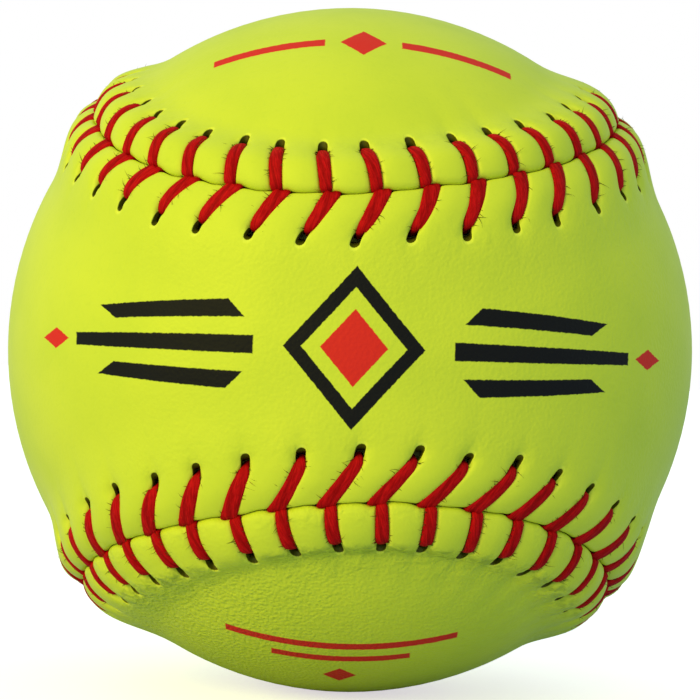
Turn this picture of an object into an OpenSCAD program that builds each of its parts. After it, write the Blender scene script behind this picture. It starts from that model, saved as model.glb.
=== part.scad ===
// Twelve-inch softball: a moulded core, two figure-eight cover panels and the
// two needle threads that lace the panels together. The origin is the middle
// of the ball, +Z is up, and the waist of the front panel faces -Y.

/* [Ball] */
// Diameter across the smooth faces of the cover
face_d = 95.7; // [92:0.1:98]
// Thickness of the cover
cover_t = 1.4; // [1.3:0.1:1.7]
// Film of adhesive between the core and the cover
film_t = 0.4; // [0.4:0.05:0.6]

/* [Seam line] */
// Angle from the middle of a panel's waist to the seam
waist_angle = 22.8; // [21:0.1:25]
// Swing of the seam line to either side, which makes the round lobes
lobe_swing = 22.8; // [21:0.1:24]
// Extra fullness of the lobes
lobe_flare = 1.9; // [1:0.1:3]
// Twist of the seam line round the middle of each panel
panel_twist = -3.7; // [-6:0.1:6]
// Angle from the middle of a waist to the middle that its lobes close on
lobe_angle = 107; // [103:0.5:110]

/* [Raised seam] */
// Height of the rounded lip above the cut edge of a panel
lip_h = 1.3; // [1:0.1:1.6]
// Distance from the seam to the crest of the lip
crest_d = 3; // [2.6:0.1:3.4]
// Distance from the seam to the foot of the lip
ridge_w = 10.5; // [9.6:0.1:12]
// Depth of the groove that a stitch pulls into the lip
groove_h = 0.8; // [0.4:0.1:1]

/* [Stitching] */
// Stitches in each panel
stitches = 88; // [80:2:96]
// Distance from the seam to the middle of the stitch holes
hole_d = 6.5; // [6:0.1:7]
// Width of the waxed thread
thread_w = 1.5; // [1.2:0.1:1.7]
// Thickness of the waxed thread
thread_t = 0.8; // [0.6:0.05:0.9]
// How far the front panel's holes lie behind their stitch
front_lag = 3.2; // [0:0.1:4]
// How far the back panel's holes lie behind their stitch
back_lag = 1.1; // [0:0.1:4]
// How much that changes along each panel
lag_swing = 1; // [0:0.1:1.5]

/* [Fits] */
// Clearance between the thread and the cover that it crosses
lift = 0.1; // [0.05:0.05:0.2]
// Clearance between the thread and the core that it crosses
under_play = 0.3; // [0.25:0.05:0.4]
// Room above the thread where it runs under a cut edge
tunnel_play = 0.7; // [0.6:0.05:1]

/* [Hidden] */

FRONT = 1;
BACK = -1;

// The seam line is one closed curve that takes two turns of its parameter.
loop = 720;
seam_steps = 720;
nudge = 0.05;

// Share of its section that the thread keeps where it is nipped in a hole or the gap
nip_share = 0.65;
// Shares of a hole's length and width that the nipped thread fills
nip_t_share = 0.21;
nip_w_share = 0.55;
// Distance between two threads in the gap, as a share of a dived thread's width
stagger_share = 1.65;
// Share of a stitch by which the first one stands ahead of the middle of the front waist
start_share = -0.37;
// Shares of the groove's depth at the cut edge, the crest, and both ends of a hole
groove_shares = [0.5, 0.8, 1.1, 0.2];
// Share of the groove that shows on the side towards the core
under_groove_share = 0.6;
// How much steeper a groove's side is across a leaning thread than along the seam, as a share
lean_share = 1.3;
// Shares of the way from the foot of the lip to the middle line of a panel
inner_shares = [1 / 3, 2 / 3];
// Pieces into which the middle line of a panel is cut
spine_n = 20;

face_r = face_d / 2;
inner_r = face_r - cover_t;
core_r = inner_r - film_t;

nip_w = thread_w * nip_share;
nip_t = thread_t * nip_share;
seam_gap = nip_t + 2 * lift;
stagger = nip_w * stagger_share;
hole_len = nip_t / nip_t_share;
hole_w = nip_w / nip_w_share;
hole_near = hole_d - hole_len / 2;
hole_far = hole_d + hole_len / 2;

edge_rise = thread_t + tunnel_play - film_t;
crest_rise = edge_rise + lip_h;
under_r = core_r + under_play + thread_t / 2;

// Unit vector along v
function unit(v) = v / norm(v);

// Point of the seam line on a ball of radius 1
function seam(a, twist = panel_twist) =
  let (
    tilt = 90 - (90 - waist_angle) * cos(a) - lobe_flare * (cos(a) - cos(3 * a)),
    way = a / 2 + lobe_swing * sin(2 * a) + twist * cos(a)
  )
  [sin(tilt) * sin(way), -cos(tilt), sin(tilt) * cos(way)];

// Direction in which the seam line travels
function heading(a) = unit(seam(a + nudge) - seam(a - nudge));

// Length travelled along the seam line, with the parameter reached there
seam_points = [for (k = [0 : seam_steps]) seam(k * loop / seam_steps)];
travelled = [
  for (k = 0, way = 0; k <= seam_steps;
       way = way + (k < seam_steps ? norm(seam_points[k + 1] - seam_points[k]) : 0), k = k + 1)
    [way, k * loop / seam_steps]
];
seam_length = travelled[seam_steps][0];
pitch = seam_length * face_r / stitches;

// Parameter of the seam line at a count of stitches from the middle of the front waist
function angle_at(count) =
  let (laps = floor(count / stitches))
  laps * loop + lookup((count / stitches - laps) * seam_length, travelled);

// How far a hole lies behind its stitch, and how far ahead a thread dives
function lag(count, side) =
  (side == FRONT ? front_lag : back_lag) + side * lag_swing * sin(loop * count / stitches);
function dive(side) = side * stagger / 2;

// Shift along the seam of a stitch's line, from its dive at the seam to its hole
function slant(count, d, side) =
  dive(side) - (lag(count, side) + dive(side)) * min(d / hole_d, 1);

// Direction to the place at distance d from the seam on one side of it
function place(count, d, side, along = 0) =
  let (
    a = angle_at(count + (slant(count, d, side) + along) / pitch),
    p = seam(a),
    turned = d / face_r * 180 / PI
  )
  p * cos(turned) + side * cross(heading(a), p) * sin(turned);

// Height of the lip over the face at distance d from the seam
function rise(d) =
  d < crest_d ? crest_rise - lip_h * pow((crest_d - d) / crest_d, 2)
  : d < ridge_w ? crest_rise * (1 + cos(180 * (d - crest_d) / (ridge_w - crest_d))) / 2
  : 0;
function outer_r(d, groove = 0) = face_r + rise(d) - groove_h * groove;

// The middle line of a panel, and the point on it that a column runs to
function spine(k, side) =
  let (a = lobe_angle * (2 * k / spine_n - 1))
  side == FRONT ? [sin(a), -cos(a), 0] : [0, cos(a), sin(a)];
function spine_k(count, side) =
  let (
    p = seam(angle_at(count), 0),
    a = side == FRONT ? atan2(p.x, -p.y) : atan2(p.z, p.y)
  )
  round((max(-1, min(1, a / lobe_angle)) + 1) / 2 * spine_n);

// Rings of points round a panel. A full ring has a point in each stitch's
// groove and one on the crest between two stitches, and a half ring has only
// the first of these.
function count_of(column, per_stitch) = column / per_stitch + start_share;
function full_ring(side, d, groove) = [
  for (c = [0 : 2 * stitches - 1])
    place(count_of(c, 2), d, side) * outer_r(d, c % 2 == 0 ? groove : 0)
];
function half_ring(side, d, r) = [
  for (c = [0 : stitches - 1]) place(count_of(c, 1), d, side) * r
];
function hole_ring(side, r) = [
  for (c = [0 : stitches - 1], end = [-1, 1])
    place(count_of(c, 1), hole_d, side, end * hole_w / 2) * r
];
function inner_ring(side, share, r) = [
  for (c = [0 : stitches - 1])
    let (
      foot = place(count_of(c, 1), ridge_w, side),
      mid = spine(spine_k(count_of(c, 1), side), side)
    )
    unit(foot * (1 - share) + mid * share) * r
];
function spine_row(side, r) = [for (k = [0 : spine_n]) spine(k, side) * r];

// Triangles between two rings, each given by the index of its first point.
// Four points are split along the shorter of their diagonals.
function turned_over(faces) = [for (f = faces) [f[2], f[1], f[0]]];
function next(c, n) = (c + 1) % n;
function shorter(points, a0, b0, a1, b1) = norm(points[a0] - points[b0]) < norm(points[a1] - points[b1]);
function band(points, a, b, n) = [
  for (c = [0 : n - 1])
    let (a0 = a + c, a1 = a + next(c, n), b0 = b + c, b1 = b + next(c, n))
    each shorter(points, a1, b0, a0, b1) ? [[a0, a1, b0], [a1, b1, b0]] : [[a0, a1, b1], [a0, b1, b0]]
];
function band_to_half(a, b) = [
  for (c = [0 : stitches - 1])
    let (a0 = a + 2 * c, a1 = a + 2 * c + 1, a2 = a + (2 * c + 2) % (2 * stitches), b0 = b + c,
         b1 = b + next(c, stitches))
    each [[a0, a1, b0], [a1, b1, b0], [a1, a2, b1]]
];
// The row of the holes, with a crest point between two holes where there is one
function hole_row_full(near, far, holes) = [
  for (c = [0 : stitches - 1])
    let (n0 = near + 2 * c, n1 = n0 + 1, n2 = near + (2 * c + 2) % (2 * stitches),
         f0 = far + 2 * c, f1 = f0 + 1, f2 = far + (2 * c + 2) % (2 * stitches),
         right = holes + 2 * c + 1, left = holes + 2 * next(c, stitches))
    each [[n0, n1, right], [n1, f1, right], [f1, f0, right], [n1, n2, left], [n1, left, f1], [f1, left, f2]]
];
function hole_row_half(near, far, holes) = [
  for (c = [0 : stitches - 1])
    let (n0 = near + c, n1 = near + next(c, stitches), f0 = far + c, f1 = far + next(c, stitches),
         right = holes + 2 * c + 1, left = holes + 2 * next(c, stitches))
    each [[n0, n1, right], [right, n1, left], [right, left, f1], [right, f1, f0]]
];
function hole_walls(near, far, holes, near_in, far_in, holes_in) = [
  for (c = [0 : stitches - 1])
    let (out = [near + 2 * c, holes + 2 * c + 1, far + 2 * c, holes + 2 * c],
         in = [near_in + c, holes_in + 2 * c + 1, far_in + c, holes_in + 2 * c])
    for (k = [0 : 3])
      each [[out[k], out[(k + 1) % 4], in[k]], [out[(k + 1) % 4], in[(k + 1) % 4], in[k]]]
];
// The last ring closes onto the middle line
function closing(points, ring, mid, side) = [
  for (c = [0 : stitches - 1])
    let (r0 = ring + c, r1 = ring + next(c, stitches),
         k0 = spine_k(count_of(c, 1), side), k1 = spine_k(count_of(next(c, stitches), 1), side),
         way = k1 > k0 ? 1 : -1,
         early = shorter(points, r1, mid + k0, r0, mid + k1))
    each concat(
      [[r0, r1, mid + (early ? k0 : k1)]],
      [for (k = [k0 : way : k1 - way]) if (k0 != k1) [early ? r1 : r0, mid + k + way, mid + k]]
    )
];

// One cover panel: its outer face with the lip and its grooves, the face
// towards the core, the cut edge along the seam and the stitch holes
module panel(side) {
  n = stitches;
  outer = concat(
    full_ring(side, seam_gap / 2, groove_shares[0]),
    full_ring(side, crest_d, groove_shares[1]),
    full_ring(side, hole_near, groove_shares[2]),
    full_ring(side, hole_far, groove_shares[3]),
    hole_ring(side, outer_r(hole_d, (groove_shares[2] + groove_shares[3]) / 2)),
    half_ring(side, ridge_w, face_r),
    inner_ring(side, inner_shares[0], face_r),
    inner_ring(side, inner_shares[1], face_r),
    spine_row(side, face_r)
  );
  under = concat(
    half_ring(side, seam_gap / 2, outer_r(seam_gap / 2) - cover_t),
    half_ring(side, hole_near, outer_r(hole_near, under_groove_share) - cover_t),
    half_ring(side, hole_far, outer_r(hole_far) - cover_t),
    hole_ring(side, outer_r(hole_d) - cover_t),
    inner_ring(side, inner_shares[0], inner_r),
    inner_ring(side, inner_shares[1], inner_r),
    spine_row(side, inner_r)
  );
  points = concat(outer, under);
  o = [0, 2 * n, 4 * n, 6 * n, 8 * n, 10 * n, 11 * n, 12 * n, 13 * n];
  u = [for (k = [0, 1, 2, 3, 5, 6, 7]) len(outer) + k * n];
  faces = concat(
    band(points, o[0], o[1], 2 * n),
    band(points, o[1], o[2], 2 * n),
    hole_row_full(o[2], o[3], o[4]),
    band_to_half(o[3], o[5]),
    band(points, o[5], o[6], n),
    band(points, o[6], o[7], n),
    closing(points, o[7], o[8], side),
    turned_over(concat(
      band_to_half(o[0], u[0]),
      band(points, u[0], u[1], n),
      hole_row_half(u[1], u[2], u[3]),
      band(points, u[2], u[4], n),
      band(points, u[4], u[5], n),
      closing(points, u[5], u[6], side)
    )),
    hole_walls(o[2], o[3], o[4], u[1], u[2], u[3])
  );
  polyhedron(points, side == FRONT ? faces : turned_over(faces));
}

// Places that a thread passes on its way through one stitch: up through the
// hole, over the lip, down through the gap, and on under the other panel
function stitch(index, side) =
  let (
    count = index + start_share,
    hole = place(count, hole_d, side),
    crest = place(count, crest_d, side),
    gap = place(count, 0, side),
    side_h = groove_h * thread_w / pitch * lean_share,
    over = lift + side_h + thread_t / 2,
    crest_top = outer_r(crest_d, groove_shares[1]) + over,
    near_top = outer_r(hole_near, groove_shares[2]) + over,
    fall = (crest_top - near_top) / (hole_near - crest_d)
  )
  [
    hole * under_r,
    hole * (near_top - fall * (hole_d - hole_near)),
    crest * crest_top,
    gap * (outer_r(seam_gap / 2, groove_shares[0]) + over),
    gap * under_r
  ];

// The four corners of the thread's section at one place of its path. A
// section in an upright run is cut off square to the bisector of the bend.
function section(before, here, after, count, kind) =
  let (
    r = unit(here),
    bend = unit(unit(here - before) + unit(after - here)),
    along = heading(angle_at(count)),
    upright = kind != 2,
    up = kind < 2 ? 1 : -1,
    w = upright ? along : let (x = unit(cross(r, bend))) x * along < 0 ? -x : x,
    m = upright ? up * unit(cross(r, along)) : cross(bend, w),
    half_w = (upright ? nip_w : thread_w) / 2,
    half_t = (upright ? nip_t : thread_t) / 2
  )
  [
    for (k = [[1, 1], [-1, 1], [-1, -1], [1, -1]])
      let (q = w * k[0] * half_w + m * k[1] * half_t)
      here + q - (upright ? r * (q * bend) / (r * bend) : q * 0)
  ];

// One needle's thread, a single closed run that crosses from panel to panel
module thread(first) {
  rings = 5 * stitches;
  path = [for (k = [0 : stitches - 1]) each stitch(k, (k + first) % 2 == 0 ? FRONT : BACK)];
  points = [
    for (k = [0 : rings - 1])
      each section(
        path[(k + rings - 1) % rings], path[k], path[(k + 1) % rings],
        floor(k / 5) + start_share, k % 5
      )
  ];
  faces = [
    for (k = [0 : rings - 1], c = [0 : 3])
      let (a = 4 * k, b = 4 * ((k + 1) % rings), d = (c + 1) % 4)
      each [[a + c, b + c, b + d], [a + c, b + d, a + d]]
  ];
  polyhedron(points, faces);
}

// Moulded polyurethane core
module core() {
  color("burlywood") sphere(r = core_r, $fn = 96);
}

// Panel whose waist faces the front
module cover_panel_front() {
  color("yellowgreen") panel(FRONT);
}

// Panel whose waist faces the back and whose lobes close the top and bottom
module cover_panel_back() {
  color("yellowgreen") panel(BACK);
}

// Thread that starts up through the front panel
module thread_first_needle() {
  color("firebrick") thread(0);
}

// Thread that starts up through the back panel
module thread_second_needle() {
  color("firebrick") thread(1);
}

core();
cover_panel_front();
cover_panel_back();
thread_first_needle();
thread_second_needle();
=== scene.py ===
"""Softball: the looks of a raised-seam ball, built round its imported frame."""

import math

import bmesh
import bpy
import numpy as np
from mathutils import Matrix, Vector


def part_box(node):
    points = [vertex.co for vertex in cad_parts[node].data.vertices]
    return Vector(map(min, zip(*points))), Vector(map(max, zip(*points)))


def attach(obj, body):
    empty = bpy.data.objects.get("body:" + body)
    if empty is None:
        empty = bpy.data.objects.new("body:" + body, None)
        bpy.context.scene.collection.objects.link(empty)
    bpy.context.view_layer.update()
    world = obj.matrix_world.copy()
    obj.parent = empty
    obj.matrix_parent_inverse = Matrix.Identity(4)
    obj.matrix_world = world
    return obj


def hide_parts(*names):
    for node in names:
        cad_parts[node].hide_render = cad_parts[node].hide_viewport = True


bl_info = {
    "name": "Raised-seam softball",
    "version": (1, 0, 0),
    "blender": (4, 5, 0),
    "location": "View3D > Sidebar > Softball",
    "description": "Builds the leather cover, the laced seam and the studio of a softball",
    "category": "Add Mesh",
}

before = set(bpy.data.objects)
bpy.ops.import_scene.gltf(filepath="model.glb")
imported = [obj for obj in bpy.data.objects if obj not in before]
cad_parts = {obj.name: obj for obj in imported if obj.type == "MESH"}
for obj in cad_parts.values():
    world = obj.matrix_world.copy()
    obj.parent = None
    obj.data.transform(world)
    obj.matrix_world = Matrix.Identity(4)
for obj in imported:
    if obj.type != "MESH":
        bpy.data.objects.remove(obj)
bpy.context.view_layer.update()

MM = 0.001
FRONT = 1
BACK = -1
SIDES = (FRONT, BACK)

# The waist of the back panel faces +Y, and its middle has no lip
FACE_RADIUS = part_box("cover_panel_back")[1].y

# The seam line closes after two turns of its angle
LOOP = 4 * math.pi
# Steps over which its length is measured, and the turn over which its direction is taken
SEAM_STEPS = 1440
NUDGE = 0.001


def length(name, description, default_mm):
    """A length that a user can change, given in millimetres."""
    return bpy.props.FloatProperty(
        name=name, description=description, default=default_mm * MM, unit="LENGTH", precision=5
    )


def angle(name, description, degrees):
    """An angle that a user can change, given in degrees."""
    return bpy.props.FloatProperty(
        name=name, description=description, default=math.radians(degrees), subtype="ANGLE"
    )


def number(name, description, default):
    """A plain number that a user can change."""
    return bpy.props.FloatProperty(name=name, description=description, default=default, precision=4)


def count(name, description, default):
    """A whole number that a user can change."""
    return bpy.props.IntProperty(name=name, description=description, default=default, min=1)


def colour(name, description, red, green, blue):
    """A linear colour that a user can change."""
    return bpy.props.FloatVectorProperty(
        name=name, description=description, default=(red, green, blue), subtype="COLOR", min=0, max=1
    )


class SeamSettings(bpy.types.PropertyGroup):
    """The seam line, the raised lip and the stitch holes"""

    waist_angle: angle("Waist", "Angle from the middle of a panel's waist to the seam", 22.8)
    lobe_swing: angle("Lobe swing", "Swing of the seam line to either side of a waist", 22.8)
    lobe_flare: angle("Lobe flare", "Extra fullness of the lobes", 1.9)
    panel_twist: angle("Twist", "Twist of the seam line round the middle of a panel", -3.7)
    lobe_angle: angle("Lobe reach", "Angle from a waist's middle to the middle of its lobes", 107)
    stitches: count("Stitches", "Stitches in each panel", 88)
    start_share: number("Start", "Share of a stitch between the waist's middle and the first stitch", -0.37)
    crest_distance: length("Crest", "Distance from the seam to the crest of the lip", 3.0)
    ridge_width: length("Lip foot", "Distance from the seam to the foot of the lip at a waist", 9.8)
    ridge_growth: length("Lip foot growth", "How much further the foot lies round the lobes", 3.2)
    waist_spread: length("Waist spread", "How much further the foot lies at a panel's own waist", 5.4)
    waist_drop: length("Waist drop", "How much lower the lip is at a panel's own waist", 0.9)
    edge_drop: length("Edge drop", "How much lower the cut edge is at a panel's own waist", 0.3)
    crest_height: length("Lip height", "Height of a pillow's crown over the face", 2.5)
    edge_height: length("Edge height", "Height of the cut edge over the face", 1.55)
    edge_roll: length("Edge roll", "Radius of the rolled edge beside the gap", 0.5)
    gap: length("Gap", "Gap between two pillows across the seam", 0.10)
    groove_depth: length("Groove depth", "Depth of the groove that a stitch pulls", 1.1)
    leather: length("Leather", "Thickness of the cover", 1.4)
    front_hole_distance: length("Front holes", "Distance from the seam to the front panel's holes", 6.40)
    back_hole_distance: length("Back holes", "Distance from the seam to the back panel's holes", 6.22)
    front_hole_length: length("Front hole length", "Length of a hole in the front panel", 2.45)
    back_hole_length: length("Back hole length", "Length of a hole in the back panel", 2.4)
    front_hole_width: length("Front hole width", "Width of a hole in the front panel", 1.28)
    back_hole_width: length("Back hole width", "Width of a hole in the back panel", 1.2)
    front_lag: length("Front lag", "How far the front panel's holes lie behind their stitch", 2.13)
    back_lag: length("Back lag", "How far the back panel's holes lie behind their stitch", 1.23)
    front_bow: length("Front bow", "How far the front panel's stitches bend back between their ends", 0.18)
    stagger: length("Stagger", "Distance between the two threads of a stitch in the gap", 1.1)


class ThreadSettings(bpy.types.PropertyGroup):
    """The waxed thread and its fuzz"""

    width: length("Width", "Width of the flattened thread over the lip", 1.5)
    thickness: length("Thickness", "Thickness of the flattened thread over the lip", 0.85)
    nip_share: number("Nip", "Share of its section that the thread keeps in a hole", 0.68)
    half_turns: count("Ply turns", "Half turns of the two plies in each stitch", 1)
    hairs: count("Hairs", "Loose fibres on each visible stitch", 22)
    hair_length: length("Hair length", "Length of the longest loose fibre", 1.4)
    hair_radius: length("Hair radius", "Radius of a loose fibre at its root", 0.048)


class FinishSettings(bpy.types.PropertyGroup):
    """The colours of the ball"""

    leather: colour("Leather", "Optic yellow of the cover", 0.71, 0.77, 0.05)
    # Painted shade: besides the mottle and the pores, this greener tone is painted on the floor of each
    # groove beside the thread
    leather_deep: colour("Deep leather", "Greener tone in the folds of the cover", 0.46, 0.60, 0.045)
    # Painted shade in the wrinkles of the lip's tuck
    leather_fold: colour("Leather fold", "Shaded tone in the wrinkles of the cover", 0.26, 0.34, 0.03)
    # Painted highlight on the rims of the grooves and on the cut rims of the holes
    leather_edge: colour("Leather edge", "Paler tone where the cover is stretched", 0.84, 0.88, 0.08)
    # Painted shade on the walls of the holes, the cut edge in the gap and the under face; this tone also
    # darkens the foam's pores
    hole: colour("Hole", "Inside of a stitch hole", 0.10, 0.092, 0.004)
    thread: colour("Thread", "Waxed red thread", 0.60, 0.005, 0.008)
    # Also painted as shade between the plies and where the thread dives into the holes and the gap
    thread_deep_and_shade: colour("Deep thread", "Thread between its plies", 0.22, 0.0, 0.001)
    # A dark olive brown for the loose fibres
    fuzz: colour("Fuzz", "Loose fibres, browned by handling", 0.10, 0.075, 0.01)
    black_ink: colour("Black ink", "Black of the printed bars", 0.004, 0.003, 0.006)
    red_ink: colour("Red ink", "Red of the printed diamonds", 0.76, 0.022, 0.018)
    foam: colour("Foam", "Moulded core", 0.52, 0.48, 0.14)


class StageSettings(bpy.types.PropertyGroup):
    """The camera and the studio"""

    distance: length("Camera distance", "Distance from the camera to the middle of the ball", 312.4)
    lens: number("Lens", "Focal length in millimetres on a 36 mm sensor", 113.5)
    roll: angle("Roll", "Turn of the camera about its own line of sight", 2.17)
    swing: angle("Swing", "Turn of the camera round the ball to the side", 0.58)
    tilt: angle("Tilt", "Turn of the camera round the ball upwards", -0.32)
    key_watts: number("Key light", "Power of the soft light at the upper left", 9.45)
    fill: number("Fill", "Strength of the light from all round", 0.66)


def smoothstep(x, low=0.0, high=1.0):
    """Runs from 0 at low to 1 at high without a corner."""
    t = np.clip((x - low) / (high - low), 0, 1)
    return t * t * (3 - 2 * t)


def unit(vectors):
    """Each vector of an array, made one long."""
    return vectors / np.maximum(np.linalg.norm(vectors, axis=-1, keepdims=True), 1e-12)


class SeamLine:
    """The closed curve where the two panels meet, with its length counted in stitches."""

    def __init__(self, seam):
        self.seam = seam
        self.turns = np.linspace(0, LOOP, SEAM_STEPS + 1)
        steps = np.linalg.norm(np.diff(self.point(self.turns, seam.panel_twist), axis=0), axis=1)
        self.travelled = np.concatenate(([0], np.cumsum(steps)))
        self.length = self.travelled[-1]
        self.pitch = self.length * FACE_RADIUS / seam.stitches

    def point(self, turn, twist):
        """Points of the curve on a ball of radius 1."""
        seam = self.seam
        flare = seam.lobe_flare * (np.cos(turn) - np.cos(3 * turn))
        tilt = math.pi / 2 - (math.pi / 2 - seam.waist_angle) * np.cos(turn) - flare
        way = turn / 2 + seam.lobe_swing * np.sin(2 * turn) + twist * np.cos(turn)
        return np.stack((np.sin(tilt) * np.sin(way), -np.cos(tilt), np.sin(tilt) * np.cos(way)), -1)

    def turn_at(self, stitch):
        """Angle of the curve at a count of stitches."""
        laps = np.floor(stitch / self.seam.stitches)
        reached = (stitch / self.seam.stitches - laps) * self.length
        return laps * LOOP + np.interp(reached, self.travelled, self.turns)

    def at(self, stitch):
        """Point of the curve at a count of stitches, and the direction in which it travels."""
        turn = self.turn_at(stitch)
        twist = self.seam.panel_twist
        heading = unit(self.point(turn + NUDGE, twist) - self.point(turn - NUDGE, twist))
        return self.point(turn, twist), heading


# How much the work of a hand changes from one stitch to the next: lengths, then how much deeper a
# crease is, as a share, and the turn of the plies
HAND_PLAY = {
    "lag": 0.30 * MM,
    "reach": 0.22 * MM,
    "slot": 0.22 * MM,
    "bow": 0.30 * MM,
    "height": 0.10 * MM,
    "depth": 0.12 * MM,
    "fold": 0.5,
    "ply": 0.7,
}
# Where between two stitches the work on the one gives way to the work on the next
HAND_BLEND = (0.25, 0.75)
# Seeds of these differences, and of the long waves of the creases
HAND_SEEDS = {FRONT: 11, BACK: 23}
FOLD_SEEDS = {FRONT: 31, BACK: 37}


class HandWork:
    """The seeded differences between the stitches of one panel."""

    def __init__(self, stitches, seed):
        draw = np.random.default_rng(seed)
        self.stitches = stitches
        self.tables = {name: draw.uniform(-1, 1, stitches) * play for name, play in HAND_PLAY.items()}

    def at(self, name, position):
        """Value at a stitch position: steady beside each stitch, and blended on the pillows."""
        table = self.tables[name]
        low = np.floor(position).astype(int)
        share = smoothstep(position - low, *HAND_BLEND)
        return table[low % self.stitches] * (1 - share) + table[(low + 1) % self.stitches] * share


# Distances from the seam, as shares of the way between named places
ROLL_SHARES = (0.0, 0.25, 0.5, 0.75, 1.0)
LIP_SHARES = (0.08, 0.17, 0.27, 0.38, 0.49, 0.60, 0.71, 0.81, 0.91, 1.0)
SLOT_SHARES = (1 / 6, 1 / 3, 1 / 2, 2 / 3, 5 / 6, 1.0)
FOOT_SHARES = (0.06, 0.13, 0.22, 0.33, 0.46, 0.61, 0.79, 1.0)
FIELD_SHARES = (0.06, 0.14, 0.24, 0.36, 0.48, 0.60, 0.72, 0.83, 0.93, 1.0)
UNDER_LIP_SHARES = (0.3, 0.65, 1.0)
UNDER_FIELD_SHARES = (0.2, 0.5, 0.8, 1.0)

# Columns between the side of a hole and the middle of a pillow
PILLOW_SHARES = (0.07, 0.16, 0.33, 0.53, 0.77)
# Columns from the middle of a hole to its side, and steps that the panel's middle line is snapped to
SLOT_ARC_STEPS = 3
SPINE_STEPS = 90

# Depth of a groove as a share of its greatest depth: at the cut edge, at the crest, at both ends of
# the hole, at the lip's foot and where the smooth field starts
DEPTH_SHARES = {FRONT: (0.75, 1.0, 1.0, 0.16, 0.03, 0.0), BACK: (0.75, 1.0, 1.0, 0.24, 0.09, 0.0)}

# How far the foot of each panel's lip strays: from side to side, from top to bottom, and twice round
FOOT_WAVES = {FRONT: (2.4 * MM, -0.8 * MM, -1.0 * MM), BACK: (0.0, -1.2 * MM, 1.0 * MM)}
# The share of that which stays at the waists and at the tips of the lobes
FOOT_EVEN = 0.4
# How much nearer the foot lies at the tips of the lower lobes
TIP_TUCK = 2.3 * MM
# How much later the lip falls away there, and how softly its fall starts at a waist
TIP_STEEPNESS = 0.75
WAIST_EASE = 0.12
WAIST_POWER = 1.3

# How far from the seam the smooth field of a panel starts, and how soon it lies on the face
FIELD_START = 16.5 * MM
FIELD_SETTLES = 3
# How early the lip falls away to its foot
FALL_POWER = 0.85
# A groove's floor and wall end this far from its middle. The wall climbs a share of the depth, and
# the round of the pillow climbs the rest. Past its hole the groove widens into a crease
GROOVE_FLOOR = 0.50 * MM
GROOVE_WALL = 1.04 * MM
WALL_SHARE = 0.62
CREASE_WIDTH = 2.1 * MM
# How far from its middle the groove layer reaches: it paints shade, darker towards the middle, and a
# highlight on the rims
GROOVE_PAINT_REACH = GROOVE_WALL * 1.15
# How far past a hole, and beside it, the mesh still bends round its ends
SLOT_FADE = 0.8 * MM
SLOT_SPREAD = 0.5 * MM
# How far a panel's cut edge gives way to its own thread and to the other panel's
GAP_OPENINGS = {FRONT: (0.14 * MM, 0.04 * MM), BACK: (0.34 * MM, 0.22 * MM)}
GAP_OPENING_WIDTH = 0.80 * MM

# How the hand drifted on its way along each panel: how far the holes lie behind their stitch, how far
# from the seam, and how the stitches bow, as cosine and sine sizes in mm for one to four waves on the
# whole way. The back panel's stitches bow by chance only
DRIFTS = {
    FRONT: {
        "lag": ((-0.88, 0.32), (0.32, 0.48), (0.58, 0.08), (1.05, 0.15)),
        "reach": ((-0.02, 0.13), (-0.10, -0.42), (-0.27, 0.29), (-0.20, 0.38)),
        "bow": ((0.0, 0.0), (0.0, 0.0), (0.0, 0.3), (0.0, 0.2)),
    },
    BACK: {
        "lag": ((-0.52, -0.23), (-0.09, -2.23), (0.81, -0.25), (-0.09, 0.80)),
        "reach": ((0.09, -0.04), (0.06, -0.14), (0.18, 0.07), (0.21, -0.06)),
        "bow": (),
    },
}

# A stitch's line runs straight out over this share of its way, and then turns square to the seam over
# the next. The last number is the run at which it lies the whole lag behind
RUN_STRAIGHT = 0.75
RUN_TURN = 0.25
RUN_FULL = 0.881

# How far the pillows of the back panel bulge past the seam line between two stitches
SCALLOP = 0.20 * MM
# How much more pointed the far end of a hole is than its near end
HOLE_TAPERS = {FRONT: 1.0, BACK: 1.7}
# How much narrower the holes are drawn round the sides of the lobes
SIDE_NARROWING = 0.42
# The share of its length that a hole keeps at the under face
UNDER_HOLE_SHARE = 0.52
# How much of the lip's height the under face follows
TENT_SHARE = 0.85
# Beside the gap the front panel's stitches spread towards the thread that they meet
MOUTH_REACH = 1.9 * MM
MOUTH_SHIFT = 0.22 * MM
MOUTH_SPREAD = 0.22 * MM
# How far the cut edges stray from the seam line, and the waves in it: how many go round the whole
# ball, where each starts, and its share of the size
WANDER = 0.13 * MM
WANDER_FADE = 2.0 * MM
WANDER_WAVES = ((41, 0.4, 1.0), (67, 1.9, 0.8), (103, 3.1, 0.7), (173, 5.0, 0.5))


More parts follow.
